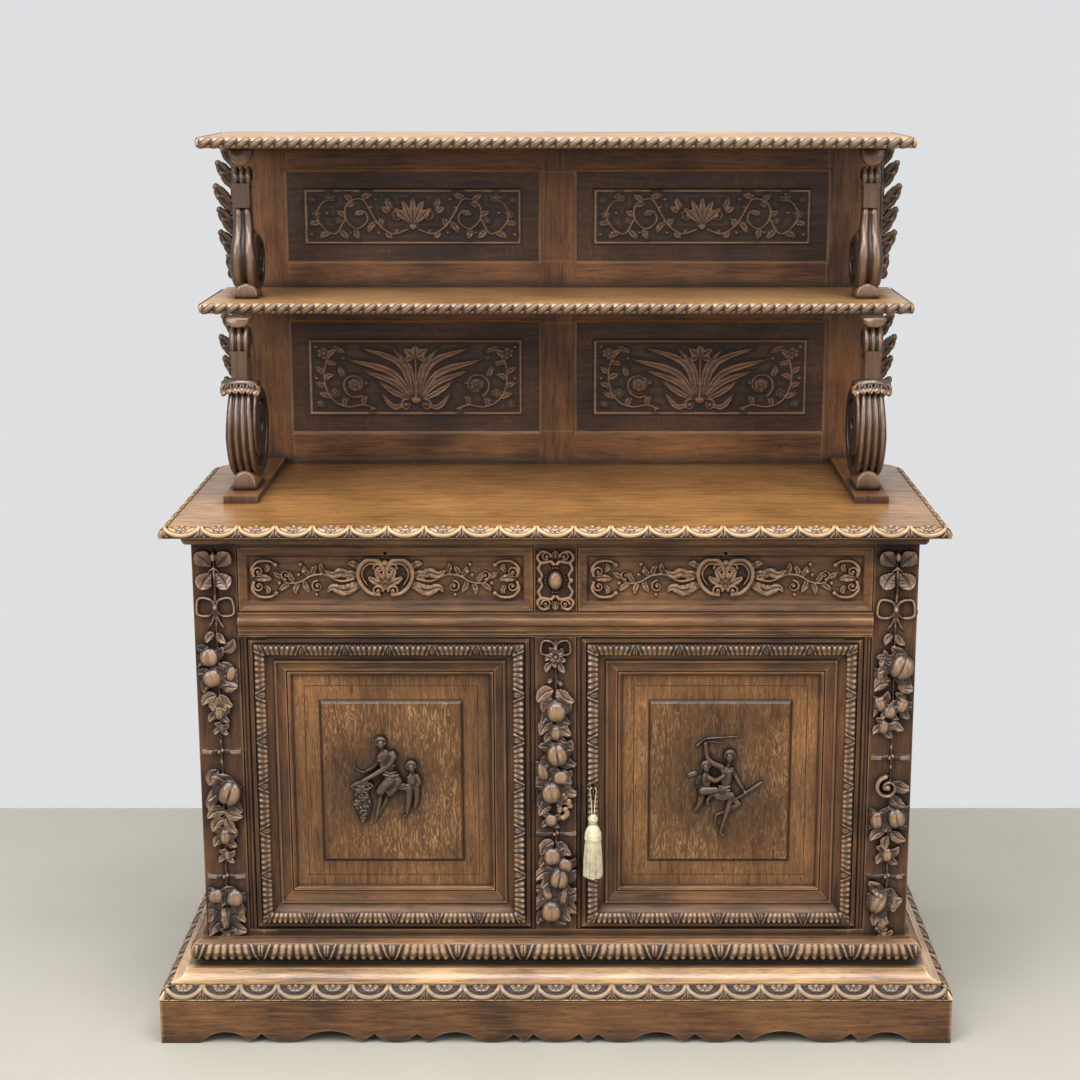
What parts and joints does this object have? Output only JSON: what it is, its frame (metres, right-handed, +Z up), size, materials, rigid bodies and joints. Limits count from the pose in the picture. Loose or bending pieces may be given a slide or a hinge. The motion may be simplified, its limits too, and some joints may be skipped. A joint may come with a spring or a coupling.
{
  "type": "carved oak dresser",
  "caption": "Free-standing carved oak dresser: moulded plinth, cupboard with framed doors, drawers above, and an open plate rack of shelves on scroll brackets",
  "frame": {"origin": "on the floor, under the middle of the plinth", "axes": "+X to the right seen from the front, +Y to the back, +Z up"},
  "size_m": [1.5, 0.646, 1.681],
  "materials": {
    "oak_frame": "dark stained, waxed, worn at edges",
    "oak_panel": "stained and waxed, ray flecks",
    "oak_inside": "bare oak, aged",
    "lock_iron": "dark, handled",
    "brass": "tarnished",
    "silk": "silk thread, satin"
  },
  "bodies": {
    "carcass": {"aprons": "oak_frame", "plinth_back_rail": "oak_inside", "corner_blocks": "oak_inside", "plinth_frame": "oak_frame", "base_moulding": "oak_frame", "front_post_right": "oak_frame", "front_post_left": "oak_frame", "rear_posts": "oak_frame", "bottom_rail": "oak_frame", "waist_rail": "oak_frame", "top_rail": "oak_frame", "centre_stile": "oak_frame", "drawer_divider": "oak_frame", "door_jambs": "oak_frame", "side_rails": "oak_frame", "side_panels": "oak_panel", "side_waist_mouldings": "oak_frame", "cabinet_floor": "oak_inside", "dust_board": "oak_inside", "cupboard_shelf": "oak_inside", "bearers_and_cleats": "oak_inside", "drawer_guides": "oak_inside", "back_boards": "oak_inside", "top_moulding": "oak_frame", "main_top": "oak_frame", "pivot_sockets": "lock_iron", "lock_keeper": "lock_iron", "rack_frame": "oak_frame", "rack_panels": "oak_panel", "mid_shelf": "oak_frame", "top_shelf": "oak_frame", "bracket_soles": "oak_frame", "lower_brackets": "oak_frame", "upper_brackets": "oak_frame", "leaf_wings": "oak_frame"},
    "drawer_left": {"drawer_left_front": "oak_frame", "drawer_left_box": "oak_inside", "drawer_left_bottom": "oak_inside", "drawer_left_lock": "lock_iron"},
    "drawer_right": {"drawer_right_front": "oak_frame", "drawer_right_box": "oak_inside", "drawer_right_bottom": "oak_inside", "drawer_right_lock": "lock_iron"},
    "door_left": {"door_left_stiles": "oak_frame", "door_left_rails": "oak_frame", "door_left_panel": "oak_panel", "door_left_pivots": "lock_iron"},
    "door_right": {"door_right_stiles": "oak_frame", "door_right_rails": "oak_frame", "door_right_panel": "oak_panel", "door_right_pivots": "lock_iron", "door_lock_case": "lock_iron", "keyhole_plate": "brass"},
    "key": {"door_key": "lock_iron"},
    "tassel": {"tassel_cord": "silk", "tassel_head": "silk", "tassel_skirt": "silk"},
    "door_bolt": {"door_lock_bolt": "lock_iron"},
    "drawer_left_bolt": {"drawer_left_bolt": "lock_iron"},
    "drawer_right_bolt": {"drawer_right_bolt": "lock_iron"}
  },
  "joints": [
    {"name": "drawer_left_slide", "type": "slide", "parent": "carcass", "child": "drawer_left", "axis": [0, -1, 0], "range_m": [0, 0.38]},
    {"name": "door_left_swing", "type": "hinge", "parent": "carcass", "child": "door_left", "pos_m": [-0.56, -0.236, 0.487], "axis": [0, 0, -1], "range_deg": [0, 95]},
    {"name": "drawer_left_bolt_slide", "type": "slide", "parent": "drawer_left", "child": "drawer_left_bolt", "axis": [0, 0, 1], "range_m": [0, 0.007]},
    {"name": "drawer_right_slide", "type": "slide", "parent": "carcass", "child": "drawer_right", "axis": [0, -1, 0], "range_m": [0, 0.38]},
    {"name": "door_right_swing", "type": "hinge", "parent": "carcass", "child": "door_right", "pos_m": [0.56, -0.236, 0.487], "axis": [0, 0, 1], "range_deg": [0, 95]},
    {"name": "drawer_right_bolt_slide", "type": "slide", "parent": "drawer_right", "child": "drawer_right_bolt", "axis": [0, 0, 1], "range_m": [0, 0.007]},
    {"name": "key_turn", "type": "hinge", "parent": "door_right", "child": "key", "pos_m": [0.07, -0.27, 0.489], "axis": [0, -1, 0], "range_deg": [0, 180]},
    {"name": "tassel_hang", "type": "hinge", "parent": "key", "child": "tassel", "pos_m": [0.07, -0.27, 0.489], "axis": [0, -1, 0], "range_deg": [-180, 0]},
    {"name": "door_bolt_slide", "type": "slide", "parent": "door_right", "child": "door_bolt", "axis": [-1, 0, 0], "range_m": [0, 0.0101]}
  ],
  "couplings": [
    {"joint": "tassel_hang", "follows": "key_turn", "ratio": -1},
    {"joint": "door_bolt_slide", "follows": "key_turn", "m_per_rad": 0.00318}
  ]
}
